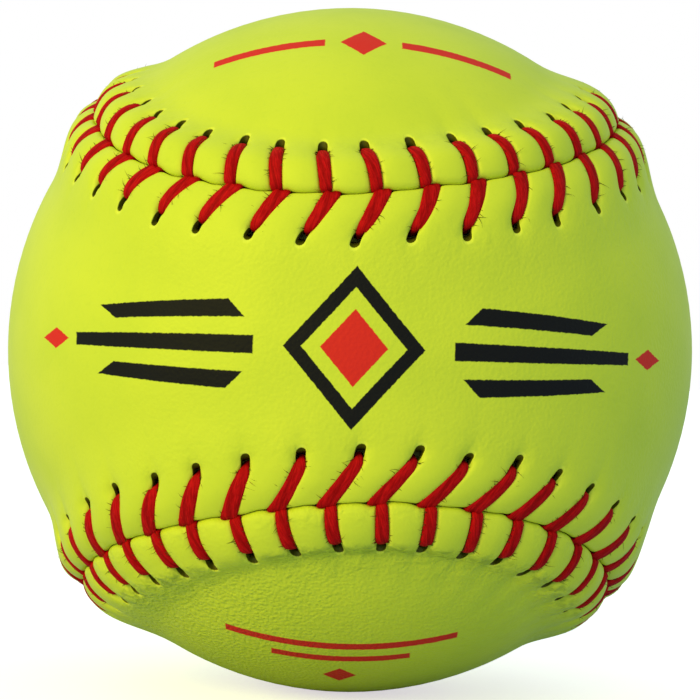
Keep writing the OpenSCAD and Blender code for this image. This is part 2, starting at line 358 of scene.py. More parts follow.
class PanelShape:
    """Places and heights on one cover panel, by stitch position and distance from the seam."""

    def __init__(self, line, seam, side):
        self.line = line
        self.seam = seam
        self.side = side
        self.hand = HandWork(seam.stitches, HAND_SEEDS[side])
        self.fold_wave = np.random.default_rng(FOLD_SEEDS[side]).uniform(0, 2 * math.pi, 3)
        self.dive = side * seam.stagger / 2
        self.bow = -seam.front_bow if side == FRONT else 0.0
        own = "front_" if side == FRONT else "back_"
        self.hole_distance = getattr(seam, own + "hole_distance")
        self.hole_length = getattr(seam, own + "hole_length")
        self.hole_width = getattr(seam, own + "hole_width")
        self.mean_lag = getattr(seam, own + "lag")

    def turn(self, position):
        """Angle of the seam line at a stitch position."""
        return LOOP * (position + self.seam.start_share) / self.seam.stitches

    def drift(self, name, position):
        """How far the hand has drifted from its usual measure at a stitch position."""
        half_turn = self.turn(position) / 2
        waves = enumerate(DRIFTS[self.side][name], 1)
        return MM * sum(a * np.cos(k * half_turn) + b * np.sin(k * half_turn) for k, (a, b) in waves)

    def lag(self, position):
        """How far a hole lies behind its stitch."""
        return self.mean_lag + self.drift("lag", position) + self.hand.at("lag", position)

    def near(self, position):
        """Distance from the seam to the near end of a hole."""
        middle = self.hole_distance + self.drift("reach", position) + self.hand.at("reach", position)
        return middle - self.hole_length / 2

    def waist(self, position):
        """How near a place is to the middle of this panel's waist, from 0 to 1."""
        return np.maximum(self.side * np.cos(self.turn(position)), 0) ** 2

    def low_tip(self, position):
        """How near a place is to the tip of a low lobe of this panel, from 0 to 1."""
        turn = self.turn(position)
        return np.maximum(-self.side * np.cos(turn), 0) * (1 - np.cos(turn / 2)) / 2

    def foot(self, position):
        """Distance from the seam to the foot of the lip, which was drawn up unevenly by hand."""
        turn = self.turn(position)
        across, along, twice = FOOT_WAVES[self.side]
        uneven = across * np.sin(turn / 2) + along * np.cos(turn / 2) + twice * np.sin(turn)
        lobe = np.sin(turn) ** 2
        seam = self.seam
        even = seam.ridge_width + seam.ridge_growth * lobe + seam.waist_spread * self.waist(position)
        return even - TIP_TUCK * self.low_tip(position) + uneven * (FOOT_EVEN + (1 - FOOT_EVEN) * lobe)

    def hole_half(self, position):
        """Half the width of a hole."""
        return self.hole_width / 2 * (1 - SIDE_NARROWING * np.sin(self.turn(position)) ** 2)

    def mouth(self, distance):
        """How near a place on the front panel is to the gap, from 0 to 1."""
        return np.exp(-((distance / MOUTH_REACH) ** 2)) if self.side == FRONT else np.zeros_like(distance)

    def far(self, position):
        """Distance from the seam to the far end of a hole."""
        return self.near(position) + self.hole_length + self.hand.at("slot", position)

    def slant(self, position, distance):
        """Shift along the seam of a stitch's line, from its dive in the gap to its hole."""
        share = distance / self.hole_distance
        turned = 1 - np.exp(-np.maximum(share - RUN_STRAIGHT, 0) / RUN_TURN)
        run = (np.minimum(share, RUN_STRAIGHT) + RUN_TURN * turned) / RUN_FULL
        bent = self.bow + self.drift("bow", position) + self.hand.at("bow", position)
        bow = np.sin(math.pi * np.clip(share, 0, 1)) * bent
        return self.dive - (self.lag(position) + self.dive) * run + bow

    def wander(self, stitch):
        """How far the cut edges stray from the seam line, the same for both panels."""
        turn = 2 * math.pi * stitch / self.seam.stitches
        strayed = sum(size * np.sin(waves * turn + start) for waves, start, size in WANDER_WAVES)
        return WANDER * strayed / 2 + SCALLOP * np.sin(math.pi * (stitch - self.seam.start_share)) ** 2

    def spread(self, stitch, distance):
        """How much wider than at the seam the stitches stand at a distance from it."""
        step = 0.05
        ahead = self.lay(stitch + step, distance)
        behind = self.lay(stitch - step, distance)
        return np.linalg.norm(ahead - behind, axis=-1) * FACE_RADIUS / (2 * step * self.line.pitch)

    def lay(self, stitch, distance):
        """Direction from the middle of the ball to a distance square off the seam line."""
        point, heading = self.line.at(stitch)
        across = np.cross(heading, point) * self.side
        stray = self.side * self.wander(stitch) * np.exp(-distance / WANDER_FADE)
        turned = ((distance + stray) / FACE_RADIUS)[..., None]
        return point * np.cos(turned) + across * np.sin(turned)

    def place(self, position, offset, distance):
        """Direction to a place beside a stitch, by its offset along the seam."""
        slant = self.slant(position + offset / self.line.pitch, distance)
        middle = position + self.seam.start_share + slant / self.line.pitch
        half = self.line.pitch / 2
        inside = GROOVE_WALL / self.spread(middle, distance)
        scaled = np.where(
            np.abs(offset) < GROOVE_WALL,
            np.abs(offset) / GROOVE_WALL * inside,
            inside + (np.abs(offset) - GROOVE_WALL) * (half - inside) / (half - GROOVE_WALL),
        )
        return self.lay(middle + np.sign(offset) * scaled / self.line.pitch, distance)

    def crown(self, position, distance):
        """Height of the pillows over the face, without their grooves."""
        seam = self.seam
        waist = self.waist(position)
        top = seam.crest_height + self.hand.at("height", position) - seam.waist_drop * waist
        drop = top - seam.edge_height + seam.edge_drop * waist
        lip = drop * (np.maximum(seam.crest_distance - distance, 0) / seam.crest_distance) ** 2
        fall = np.clip((distance - seam.crest_distance) / (self.foot(position) - seam.crest_distance), 0, 1)
        steep = (1 + np.cos(math.pi * fall ** (FALL_POWER + TIP_STEEPNESS * self.low_tip(position)))) / 2
        eased = (np.hypot(fall, WAIST_EASE) - WAIST_EASE) / (math.hypot(1, WAIST_EASE) - WAIST_EASE)
        gentle = (1 - eased) ** WAIST_POWER
        return top * (steep * (1 - waist) + gentle * waist) - lip

    def depth(self, position, distance):
        """Depth of a groove, or of the crease that runs on from its hole."""
        near, far = self.near(position), self.far(position)
        places = (0, self.seam.crest_distance, near, far, self.seam.ridge_width, FIELD_START)
        shares = np.zeros_like(distance)
        past = DEPTH_SHARES[self.side]
        for low, high, first, last in zip(places, places[1:], past, past[1:]):
            inside = (distance >= low) & (distance <= high)
            way = np.clip((distance - low) / (high - low), 0, 1)
            shares = np.where(inside, first + (last - first) * way, shares)
        fold = 1 + smoothstep(distance, near, far) * self.fold(position)
        return (self.seam.groove_depth + self.hand.at("depth", position)) * shares * fold

    def fold(self, position):
        """How much deeper than usual the creases are on this stretch of the panel."""
        turn = 2 * math.pi * position / self.seam.stitches
        wave = sum(np.sin((k + 1) * turn + start) for k, start in enumerate(self.fold_wave)) / 2
        return wave + self.hand.at("fold", position)

    def height(self, position, offset, distance):
        """Height of the outer face over the ball's face."""
        share = position + offset / self.line.pitch
        width = smoothstep(distance, self.near(position), self.far(position))
        mouth = self.mouth(distance)
        floor = GROOVE_FLOOR * (1 - width)
        wall = GROOVE_WALL + (CREASE_WIDTH - GROOVE_WALL) * width + MOUTH_SPREAD * mouth
        away = np.abs(offset + MOUTH_SHIFT * mouth)
        rounded = np.clip((away - floor) / (self.line.pitch / 2 - floor), 0, 1)
        pillow = WALL_SHARE * smoothstep(away, floor, wall) + (1 - WALL_SHARE) * (1 - (1 - rounded) ** 2)
        return self.crown(share, distance) - self.depth(share, distance) * (1 - pillow)

    def gap_half(self, offset):
        """Half the gap's width: wide where a thread passes, and nearly shut between."""
        other = offset + self.side * self.seam.stagger
        own_give, other_give = GAP_OPENINGS[self.side]
        own = own_give * np.exp(-((offset / GAP_OPENING_WIDTH) ** 2))
        return self.seam.gap / 2 + np.maximum(own, other_give * np.exp(-((other / GAP_OPENING_WIDTH) ** 2)))


class PanelColumns:
    """The columns of a panel's mesh: where each stands beside its stitch."""

    def __init__(self, shape):
        stitches = np.arange(shape.seam.stitches).astype(float)
        half_hole = shape.hole_half(stitches)[:, None]
        half_pitch = shape.line.pitch / 2
        arc = half_hole * np.sin(math.pi / 2 * np.arange(1, SLOT_ARC_STEPS + 1) / SLOT_ARC_STEPS)
        pillow = half_hole + (half_pitch - half_hole) * np.array(PILLOW_SHARES)
        side = np.concatenate((arc, pillow), 1)
        middle = np.zeros_like(half_hole)
        offsets = np.concatenate((-side[:, ::-1], middle, side, middle + half_pitch), 1)
        self.per_stitch = offsets.shape[1]
        self.middle = side.shape[1]
        self.position = np.repeat(stitches, self.per_stitch)
        self.offset = offsets.ravel()
        self.half_hole = np.repeat(half_hole, self.per_stitch)
        self.shape = shape
        self.share = self.position + self.offset / shape.line.pitch
        self.near = shape.near(self.position)
        self.far = shape.far(self.position)

    def in_hole(self, column):
        """True for the columns that a stitch hole spans."""
        return abs(column % self.per_stitch - self.middle) <= SLOT_ARC_STEPS

    def round_slot(self, distance):
        """Bends the rings round both ends of the holes."""
        away = np.abs(self.offset)
        inside = self.half_hole * (1 - np.sqrt(np.clip(1 - (away / self.half_hole) ** 2, 0, 1)))
        beside = self.half_hole * np.exp(-(away - self.half_hole) / SLOT_SPREAD)
        bend = np.where(away <= self.half_hole, inside, beside)
        middle = (self.near + self.far) / 2

        def pull(past, share):
            return np.where(past > 0, np.exp(-past / SLOT_FADE), np.clip(share, 0, 1))

        near_pull = pull(self.near - distance, (middle - distance) / (middle - self.near))
        far_pull = pull(distance - self.far, (distance - middle) / (self.far - middle))
        return distance + bend * (near_pull - HOLE_TAPERS[self.shape.side] * far_pull)


class Ring:
    """One ring of a mesh: its points, and what its material reads there."""

    def __init__(self, points, **values):
        self.points = points
        self.values = values


def layers_of(bm, names):
    """The float layers of a mesh that its material reads."""
    return {name: bm.verts.layers.float.get(name) or bm.verts.layers.float.new(name) for name in names}


def set_ring(verts, ring, column, layers):
    """Moves vertices to their places in a ring."""
    for vert in verts:
        place = vert[column]
        vert.co = ring.points[place]
        for name, layer in layers.items():
            vert[layer] = ring.values[name][place]


def extrude(bm, edges):
    """Extrudes edges, and returns the new vertices and the new edges."""
    made = bmesh.ops.extrude_edge_only(bm, edges=edges)["geom"]
    kinds = (bmesh.types.BMVert, bmesh.types.BMEdge)
    return [[part for part in made if isinstance(part, kind)] for kind in kinds]


def extrude_ring(bm, edges, ring, column, layers):
    """Extrudes edges into the next ring, and returns the new edges."""
    verts, edges = extrude(bm, edges)
    set_ring(verts, ring, column, layers)
    return edges


def sweep(bm, rings, names=()):
    """Starts from a circle's edges, and extrudes them from ring to ring. Returns the last edges."""
    column = bm.verts.layers.int.get("column") or bm.verts.layers.int.new("column")
    layers = layers_of(bm, names)
    verts = bmesh.ops.create_circle(bm, segments=len(rings[0].points), radius=1)["verts"]
    for place, vert in enumerate(verts):
        vert[column] = place
    set_ring(verts, rings[0], column, layers)
    edges = list(dict.fromkeys(edge for vert in verts for edge in vert.link_edges))
    for ring in rings[1:]:
        edges = extrude_ring(bm, edges, ring, column, layers)
    return edges


# Points of a mesh that lie nearer to each other than this become one
WELD_DISTANCE = 0.0005 * MM


def finish_mesh(bm, name, weld=True):
    """Turns a mesh outwards, welded unless told not to, and makes it a smooth object."""
    if weld:
        bmesh.ops.remove_doubles(bm, verts=bm.verts, dist=WELD_DISTANCE)
        bmesh.ops.dissolve_degenerate(bm, dist=WELD_DISTANCE, edges=bm.edges)
    bmesh.ops.recalc_face_normals(bm, faces=bm.faces)
    for face in bm.faces:
        face.smooth = True
    column = bm.verts.layers.int.get("column")
    if column:
        bm.verts.layers.int.remove(column)
    mesh = bpy.data.meshes.new(name)
    bm.to_mesh(mesh)
    bm.free()
    piece = bpy.data.objects.new(name, mesh)
    bpy.context.scene.collection.objects.link(piece)
    return piece


def panel_rings(shape, columns):
    """The rings of a panel's outer face, from its cut edge to the middle line, and of its under face."""
    seam = shape.seam
    edge = shape.gap_half(columns.offset)
    start = edge + seam.edge_roll

    def outer(distance, drop=0.0, dark=0.0):
        rounded = columns.round_slot(distance)
        direction = shape.place(columns.position, columns.offset, rounded)
        height = shape.height(columns.position, columns.offset, rounded) - drop
        groove = 1 - smoothstep(np.abs(columns.offset), GROOVE_FLOOR, GROOVE_PAINT_REACH)
        inside = smoothstep(distance, columns.far, columns.near)
        values = {
            "groove": groove * inside,
            "shade": np.full(len(distance), float(dark)),
            "distance": rounded / MM,
        }
        return Ring(direction * (FACE_RADIUS + height)[:, None], **values)

    def under(distance):
        rounded = columns.round_slot(distance)
        direction = shape.place(columns.position, columns.offset, rounded)
        tent = shape.crown(columns.share, rounded) * TENT_SHARE - seam.leather
        plain = np.zeros(len(distance))
        values = {"groove": plain, "shade": plain + 1, "distance": rounded / MM}
        return Ring(direction * (FACE_RADIUS + tent)[:, None], **values)

    def field(foot, share, snap):
        spine = spine_point(shape, columns, snap)
        direction = unit(unit(foot.points) * (1 - share) + spine * share)
        radius = np.linalg.norm(foot.points, axis=-1)
        flat = FACE_RADIUS if foot.values["shade"][0] < 1 else FACE_RADIUS - seam.leather
        settled = min(FIELD_SETTLES * share, 1)
        level = radius * (1 - settled) + flat * settled
        values = dict(foot.values, distance=np.full(len(radius), (FIELD_START + share * FIELD_START) / MM))
        return Ring(direction * level[:, None], **values)

    def rolled(share):
        turned = math.pi / 2 * share
        return outer(edge + seam.edge_roll * (1 - math.cos(turned)), seam.edge_roll * (1 - math.sin(turned)))

    slot = columns.far - columns.near
    top = [rolled(share) for share in ROLL_SHARES]
    top += [outer(start + (columns.near - start) * share) for share in LIP_SHARES]
    top += [outer(columns.near + slot * share) for share in SLOT_SHARES]
    top += [outer(columns.far + (FIELD_START - columns.far) * share) for share in FOOT_SHARES]
    top += [field(top[-1], share, share == 1) for share in FIELD_SHARES]

    bottom = [under(edge)]
    bottom += [under(edge + (columns.near - edge) * share) for share in UNDER_LIP_SHARES]
    bottom += [under(columns.near + slot * share * UNDER_HOLE_SHARE) for share in SLOT_SHARES]
    bottom += [under(np.full(len(edge), FIELD_START))]
    bottom += [field(bottom[-1], share, share == 1) for share in UNDER_FIELD_SHARES]
    return top, bottom


def spine_point(shape, columns, snap):
    """The point of the panel's middle line that each column runs to."""
    seam = shape.seam
    slant = shape.slant(columns.share, np.full(len(columns.share), FIELD_START))
    stitch = columns.share + seam.start_share + slant / shape.line.pitch
    point = shape.line.point(shape.line.turn_at(stitch), 0)
    across, along = (point[:, 0], -point[:, 1]) if shape.side == FRONT else (point[:, 2], point[:, 1])
    turned = np.clip(np.arctan2(across, along), -seam.lobe_angle, seam.lobe_angle)
    if snap:
        turned = np.round(turned / seam.lobe_angle * SPINE_STEPS / 2) * seam.lobe_angle / (SPINE_STEPS / 2)
    level = np.zeros_like(turned)
    if shape.side == FRONT:
        return np.stack((np.sin(turned), -np.cos(turned), level), -1)
    return np.stack((level, np.cos(turned), np.sin(turned)), -1)


LEATHER_LAYERS = ("groove", "shade", "distance")
# The outer face's rings are numbered from 0 at the cut edge, and the under face's from UNDER_RING.
# The rings between the two, on the cut edge in the gap, all take WALL_RING
UNDER_RING = 1000
WALL_RING = 500
# The walls of a hole: how far down each ring lies, as a share, and its value in the shade layer, which paints
# shade on the wall
HOLE_WALL = ((0.05, 0.25), (0.15, 1.0), (0.5, 1.0), (1.0, 1.0))
# The cut edge in the gap: the same, below the rolled rim
EDGE_WALL = ((0.4, 0.76), (1.0, 1.0))
# The value of the shade layer at which the leather takes its strongest painted highlight, on the cut rims of
# the holes
RIM_SHADE = 0.15


def open_holes(bm, columns, first, last, layer):
    """Removes the faces inside the stitch holes, and returns the edges round them."""
    column = bm.verts.layers.int.get("column")
    inside = []
    for face in bm.faces:
        if all(first <= vert[layer] <= last and columns.in_hole(vert[column]) for vert in face.verts):
            inside.append(face)
    spans = [face for face in inside if len({vert[column] for vert in face.verts}) == 2]
    rim = dict.fromkeys(edge for face in spans for edge in face.edges)
    bmesh.ops.delete(bm, geom=spans, context="FACES_ONLY")
    rim = [edge for edge in rim if edge.is_valid]
    loose = [edge for edge in rim if not edge.link_faces]
    bmesh.ops.delete(bm, geom=loose, context="EDGES")
    bmesh.ops.delete(bm, geom=[vert for vert in bm.verts if not vert.link_edges], context="VERTS")
    return [edge for edge in rim if edge.is_valid and edge.is_boundary]


def build_panel(shape, name):
    """One cover panel: a closed leather shell with its lip, its grooves and its stitch holes."""
    columns = PanelColumns(shape)
    top, bottom = panel_rings(shape, columns)
    first_slot = len(ROLL_SHARES) + len(LIP_SHARES) - 1
    last_slot = first_slot + len(SLOT_SHARES)
    first_under = UNDER_RING + len(UNDER_LIP_SHARES)
    for first_ring, rings in ((0, top), (UNDER_RING, bottom)):
        for place, ring in enumerate(rings, first_ring):
            ring.values["ring"] = np.full(len(columns.offset), float(place))
    names = LEATHER_LAYERS + ("ring",)

    bm = bmesh.new()
    sweep(bm, top, names)
    layer = bm.verts.layers.float.get("ring")
    column = bm.verts.layers.int.get("column")
    layers = layers_of(bm, names)
    rim = open_holes(bm, columns, first_slot, last_slot, layer)
    for vert in {vert for edge in rim for vert in edge.verts}:
        vert[layers["shade"]] = RIM_SHADE
    sweep(bm, bottom, names)
    under_rim = open_holes(bm, columns, first_under, first_under + len(SLOT_SHARES), layer)

    # The walls of the holes, from the outer face down to the under face
    under_place = {
        (round(vert[layer]) - first_under, vert[column]): vert.co.copy()
        for edge in under_rim
        for vert in edge.verts
    }
    for share, dark in HOLE_WALL:
        verts, rim = extrude(bm, rim)
        for vert in verts:
            row = round(vert[layer]) - first_slot
            low = under_place[(row, vert[column])]
            top_place = Vector(top[first_slot + row].points[vert[column]])
            vert.co = top_place.lerp(low, share)
            vert[layers["shade"]] = dark

    # The cut edge, from the rolled rim down to the under face
    bridge_edge(bm, layer, column, layers, top[0], bottom[0])
    bm.verts.layers.float.remove(bm.verts.layers.float.get("ring"))
    return finish_mesh(bm, name)


def bridge_edge(bm, layer, column, layers, rim, foot):
    """Closes the cut edge with two more rings between the outer face and the under face."""
    edges = [edge for edge in bm.edges if edge.is_boundary and all(vert[layer] == 0 for vert in edge.verts)]
    for share, dark in EDGE_WALL:
        ring = Ring(
            rim.points * (1 - share) + foot.points * share,
            groove=rim.values["groove"],
            shade=np.full(len(rim.points), dark),
            distance=rim.values["distance"],
            ring=np.full(len(rim.points), float(WALL_RING)),
        )
        edges = extrude_ring(bm, edges, ring, column, layers)


def dress(piece, material, slot_name, *nodes):
    """Gives a finished piece its material and its body, and hides the nodes that it stands for."""
    piece.data.materials.clear()
    piece.data.materials.append(material)
    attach(piece, "root")
    if nodes:
        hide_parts(*nodes)
    return piece


# The keys of a stitch: its distance from the seam as a share of the way to the near end of
# the hole, its height over the groove in thicknesses, and its width and thickness as shares
LIP_KEYS = {
    FRONT: (
        (1.07, 0.10, 0.90, 0.85),
        (0.98, 0.50, 1.10, 0.94),
        (0.86, 0.62, 1.26, 1.00),
        (0.70, 0.65, 1.37, 1.03),
        (0.54, 0.65, 1.40, 1.04),
        (0.38, 0.65, 1.38, 1.02),
        (0.24, 0.65, 1.36, 1.00),
        (0.12, 0.64, 1.38, 0.92),
        (0.02, 0.54, 1.36, 0.80),
    ),
    BACK: (
        (1.07, 0.12, 0.96, 0.88),
        (0.98, 0.50, 1.10, 0.97),
        (0.86, 0.62, 1.15, 1.02),
        (0.70, 0.65, 1.14, 1.04),
        (0.54, 0.64, 1.12, 1.04),
        (0.38, 0.63, 1.08, 1.02),
        (0.24, 0.62, 1.04, 0.98),
        (0.13, 0.60, 1.02, 0.93),
        (0.05, 0.46, 1.00, 0.86),
    ),
}
# How much sooner the thread sinks towards its hole at the tips of the low lobes
TIP_DIVE = 0.08
# In its hole the thread keeps to this share of the way to the near end, and it comes up there from
# this far below the groove's floor
HOLE_IN_SHARE = 1.10
HOLE_DROP = 0.75 * MM
# Keys of a stitch that lie in its hole, before those of the lip
HOLE_KEYS = 2
# How far below the edge the thread turns down in the gap, and to which side of the seam
GAP_DROP = 1.15 * MM
GAP_SIDE = {FRONT: -0.20 * MM, BACK: 0.20 * MM}
# How far below the face the thread runs under the leather, and its keys on the way to the next hole
UNDER_HEIGHT = 1.1 * MM
UNDER_STEPS = 2
# Points of the run from one key to the next
SPANS = 2
# The section: its sides, how square its corners are, and the notches between the two plies
SECTION_SIDES = 14
SECTION_POWER = 2.3
PLY_NOTCH = 0.17
PLY_NOTCH_WIDTH = 0.36
# How steep the thread is where its section starts to turn square to the seam, and over what range
STEEP_START = 0.55
STEEP_RANGE = 0.3


class NeedleRun:
    """The route of one needle's thread: key points, section sizes and directions."""

    def __init__(self, shapes, seam, thread, first):
        self.shapes = shapes
        self.seam = seam
        self.thread = thread
        self.line = shapes[FRONT].line
        side_of = [FRONT if (k + first) % 2 == 0 else BACK for k in range(seam.stitches)]
        points, scales, headings, plies = [], [], [], []
        for k, side in enumerate(side_of):
            rows = self.stitch(float(k), side)
            ahead = self.stitch(float((k + 1) % seam.stitches), side_of[(k + 1) % seam.stitches])[0]
            rows += self.under(rows[-1], ahead)
            points += [row[0] for row in rows]
            scales += [row[1:] for row in rows]
            stitch = k + seam.start_share
            headings += [self.line.at(np.array([stitch + j / len(rows)]))[1][0] for j in range(len(rows))]
            plies += [shapes[side].hand.at("ply", np.array([float(k)]))[0]] * len(rows)
        self.keys_per_stitch = len(points) // seam.stitches
        self.points = smooth_loop(np.array(points), SPANS)
        self.wide_share, self.thick_share = smooth_loop(np.array(scales), SPANS).T
        self.headings = unit(smooth_loop(np.array(headings), SPANS))
        self.plies = smooth_loop(np.array(plies)[:, None], SPANS)[:, 0]

    def stitch(self, k, side):
        """Key points of one stitch, up through its hole, over the lip and down the gap."""
        shape = self.shapes[side]
        position = np.array([k])
        near = shape.near(position)
        end = near[0] * (1 - TIP_DIVE * shape.low_tip(position)[0])
        thick = self.thread.thickness
        nip = self.thread.nip_share
        rows = []

        def add(distance, height, wide, flat):
            reach = np.array([distance])
            direction = shape.place(position, -MOUTH_SHIFT * shape.mouth(reach), reach)[0]
            rows.append((direction * (FACE_RADIUS + height), wide, flat))

        def floor(distance):
            reach = np.array([distance])
            return shape.height(position, -MOUTH_SHIFT * shape.mouth(reach), reach)[0]

        add(near[0] * HOLE_IN_SHARE, -UNDER_HEIGHT, nip, nip)
        add(near[0] * HOLE_IN_SHARE, floor(near[0]) - HOLE_DROP, nip, nip)
        for share, lift, wide, flat in LIP_KEYS[side]:
            add(end * share, floor(end * min(share, 1)) + lift * thick, wide, flat)
        add(GAP_SIDE[side], floor(0.0) - GAP_DROP, nip, nip)
        add(GAP_SIDE[side], -UNDER_HEIGHT, nip, nip)
        return rows

    def under(self, last, ahead):
        """Key points under the other panel, from the gap to the next hole."""
        rows = []
        nip = self.thread.nip_share
        for step in range(1, UNDER_STEPS + 1):
            share = step / (UNDER_STEPS + 1)
            middle = last[0] * (1 - share) + ahead[0] * share
            radius = np.linalg.norm(last[0])
            rows.append((middle / np.linalg.norm(middle) * radius, nip, nip))
        return rows

    def frames(self):
        """Directions along the run, across its width and through its thickness."""
        along = unit(np.roll(self.points, -1, 0) - np.roll(self.points, 1, 0))
        outward = unit(self.points)
        steep = np.abs((along * outward).sum(-1))
        upright = np.clip((steep - STEEP_START) / STEEP_RANGE, 0, 1)[:, None]
        square = self.headings - along * (self.headings * along).sum(-1)[:, None]
        flat = np.cross(along, outward)
        flat = flat * np.sign((flat * self.headings).sum(-1))[:, None]
        wide = unit(unit(flat) * (1 - upright) + unit(square) * upright)
        wide = unit(wide - along * (wide * along).sum(-1)[:, None])
        return along, wide, np.cross(wide, along)

    def rings(self):
        """The rings of the thread's mesh: each runs the whole way, at one place of the section."""
        along, wide, thick = self.frames()
        steps = np.linalg.norm(np.roll(self.points, -1, 0) - self.points, axis=-1)
        reached = np.concatenate(([0], np.cumsum(steps)[:-1]))
        stitch = np.arange(len(self.points)) / (self.keys_per_stitch * SPANS)
        turned = math.pi * self.thread.half_turns * stitch + self.plies
        rings = []
        for k in range(SECTION_SIDES + 1):
            place = 2 * math.pi * (k % SECTION_SIDES) / SECTION_SIDES
            across, up = swollen(math.cos(place)), swollen(math.sin(place))
            from_ply = (place - turned + math.pi / 2) % math.pi - math.pi / 2
            notch = 1 - PLY_NOTCH * np.exp(-((from_ply / PLY_NOTCH_WIDTH) ** 2))
            half_width = (self.thread.width / 2 * self.wide_share * notch)[:, None]
            half_thick = (self.thread.thickness / 2 * self.thick_share * notch)[:, None]
            points = self.points + wide * across * half_width + thick * up * half_thick
            rings.append(
                Ring(
                    points,
                    ply_cos=np.cos(place - turned),
                    ply_sin=np.sin(place - turned),
                    along=reached / MM,
                    end=np.clip((1 - self.thick_share) / (1 - self.thread.nip_share), 0, 1),
                )
            )
        return rings


def swollen(part):
    """A cosine or a sine of the thread's section, pushed out towards its corners."""
    return math.copysign(abs(part) ** (2 / SECTION_POWER), part)


def smooth_loop(keys, spans):
    """A closed Catmull-Rom curve through keys, with so many points to a span."""
    before, after, beyond = np.roll(keys, 1, 0), np.roll(keys, -1, 0), np.roll(keys, -2, 0)
    made = []
    for step in range(spans):
        t = step / spans
        squared = (2 * before - 5 * keys + 4 * after - beyond) * t**2
        cubed = (3 * keys - before - 3 * after + beyond) * t**3
        made.append(0.5 * (2 * keys + (after - before) * t + squared + cubed))
    return np.stack(made, 1).reshape(-1, keys.shape[1])


THREAD_LAYERS = ("ply_cos", "ply_sin", "along", "end")


def build_thread(run, name):
    """One needle's thread, a closed tube of two flattened plies."""
    bm = bmesh.new()
    sweep(bm, run.rings(), THREAD_LAYERS)
    return finish_mesh(bm, name)


def needle_runs(scene):
    """The routes of the two needles' threads."""
    seam = scene.softball_seam
    line = SeamLine(seam)
    shapes = {side: PanelShape(line, seam, side) for side in SIDES}
    return [NeedleRun(shapes, seam, scene.softball_thread, first) for first in (0, 1)]


class SOFTBALL_OT_thread(bpy.types.Operator):
    """Laces the two needles' threads through the holes"""

    bl_idname = "softball.thread"
    bl_label = "Threads"

    def execute(self, context):
        material = thread_material(context.scene.softball_finish)
        for run, name in zip(needle_runs(context.scene), ("first_needle", "second_needle")):
            piece = build_thread(run, "thread_of_" + name)
            dress(piece, material, "thread", "thread_" + name)
        return {"FINISHED"}


HAIR_SIDES = 3
HAIR_SHARES = (0.0, 0.35, 0.7, 1.0)
# More fibres stand near the hole than near the gap
HAIR_CROWDING = 2.6
# Where a fibre starts on the thread's section, and how far it leans: aside, along and outwards
HAIR_ROOT = (0.85, 0.5)
HAIR_LEANS = ((0.6, 1.0), (-0.6, 0.4), (0.2, 0.8))
HAIR_CURL = 0.35
HAIR_SAG = 0.30
# The shortest fibre as a share of the longest, how rare long ones are, and how thin a tip gets
HAIR_SHORTEST = 0.25
HAIR_RARITY = 1.5
HAIR_THINNING = 0.9
HAIR_SEED = 5


def hair_roots(run, draw, hairs):
    """Where the loose fibres of one needle's thread start, and the way they lean."""
    along, wide, _ = run.frames()
    outward = unit(run.points)
    per_stitch = run.keys_per_stitch * SPANS
    first = SPANS * HOLE_KEYS
    last = SPANS * (HOLE_KEYS + len(LIP_KEYS[FRONT]) - 1)
    stitches = np.repeat(np.arange(run.seam.stitches), hairs)
    way = draw.uniform(0, 1, len(stitches)) ** HAIR_CROWDING
    place = (stitches * per_stitch + first + way * (last - first)).astype(int)
    side = draw.choice((-1.0, 1.0), len(stitches))[:, None]
    half_width = (run.thread.width / 2 * run.wide_share[place])[:, None]
    half_thick = (run.thread.thickness / 2 * run.thick_share[place])[:, None]
    out_share, up_share = HAIR_ROOT
    root = run.points[place] + wide[place] * side * half_width * out_share
    root = root + outward[place] * half_thick * up_share
    aside, ahead, outwards = (draw.uniform(low, high, (len(place), 1)) for low, high in HAIR_LEANS)
    lean = wide[place] * side * aside + along[place] * ahead + outward[place] * outwards
    return root, unit(lean), outward[place]


def build_fuzz(runs, thread):
    """Loose fibres along the edges of the stitches, as thin curved spikes."""
    draw = np.random.default_rng(HAIR_SEED)
    parts = [hair_roots(run, draw, thread.hairs) for run in runs]
    root, lean, outward = (np.concatenate(part) for part in zip(*parts))
    total = len(root)
    reach = thread.hair_length * draw.uniform(HAIR_SHORTEST, 1.0, (total, 1)) ** HAIR_RARITY
    curl = unit(draw.normal(size=(total, 3))) * HAIR_CURL - outward * HAIR_SAG
    side = unit(np.cross(lean, outward))
    up = np.cross(side, lean)

    bm = bmesh.new()
    column = bm.verts.layers.int.new("column")
    for k in range(total):
        verts = bmesh.ops.create_circle(bm, segments=HAIR_SIDES, radius=thread.hair_radius)["verts"]
        for corner, vert in enumerate(verts):
            vert[column] = k * HAIR_SIDES + corner
    edges = list(bm.edges)
    for share in HAIR_SHARES:
        middle = root + lean * reach * share + curl * reach * share**2
        radius = thread.hair_radius * (1 - HAIR_THINNING * share)
        corners = [
            middle + (side * math.cos(turn) + up * math.sin(turn)) * radius
            for turn in (2 * math.pi * corner / HAIR_SIDES for corner in range(HAIR_SIDES))
        ]
        ring = Ring(np.stack(corners, 1).reshape(-1, 3))
        if share == 0:
            set_ring(bm.verts, ring, column, {})
        else:
            edges = extrude_ring(bm, edges, ring, column, {})
    bmesh.ops.holes_fill(bm, edges=[edge for edge in bm.edges if edge.is_boundary], sides=HAIR_SIDES)
    return finish_mesh(bm, "thread_fuzz", weld=False)


class SOFTBALL_OT_fuzz(bpy.types.Operator):
    """Raises loose fibres along the stitches"""

    bl_idname = "softball.fuzz"
    bl_label = "Thread fuzz"

    def execute(self, context):
        scene = context.scene
        fuzz = build_fuzz(needle_runs(scene), scene.softball_thread)
        dress(fuzz, fuzz_material(scene.softball_finish), "thread")
        return {"FINISHED"}


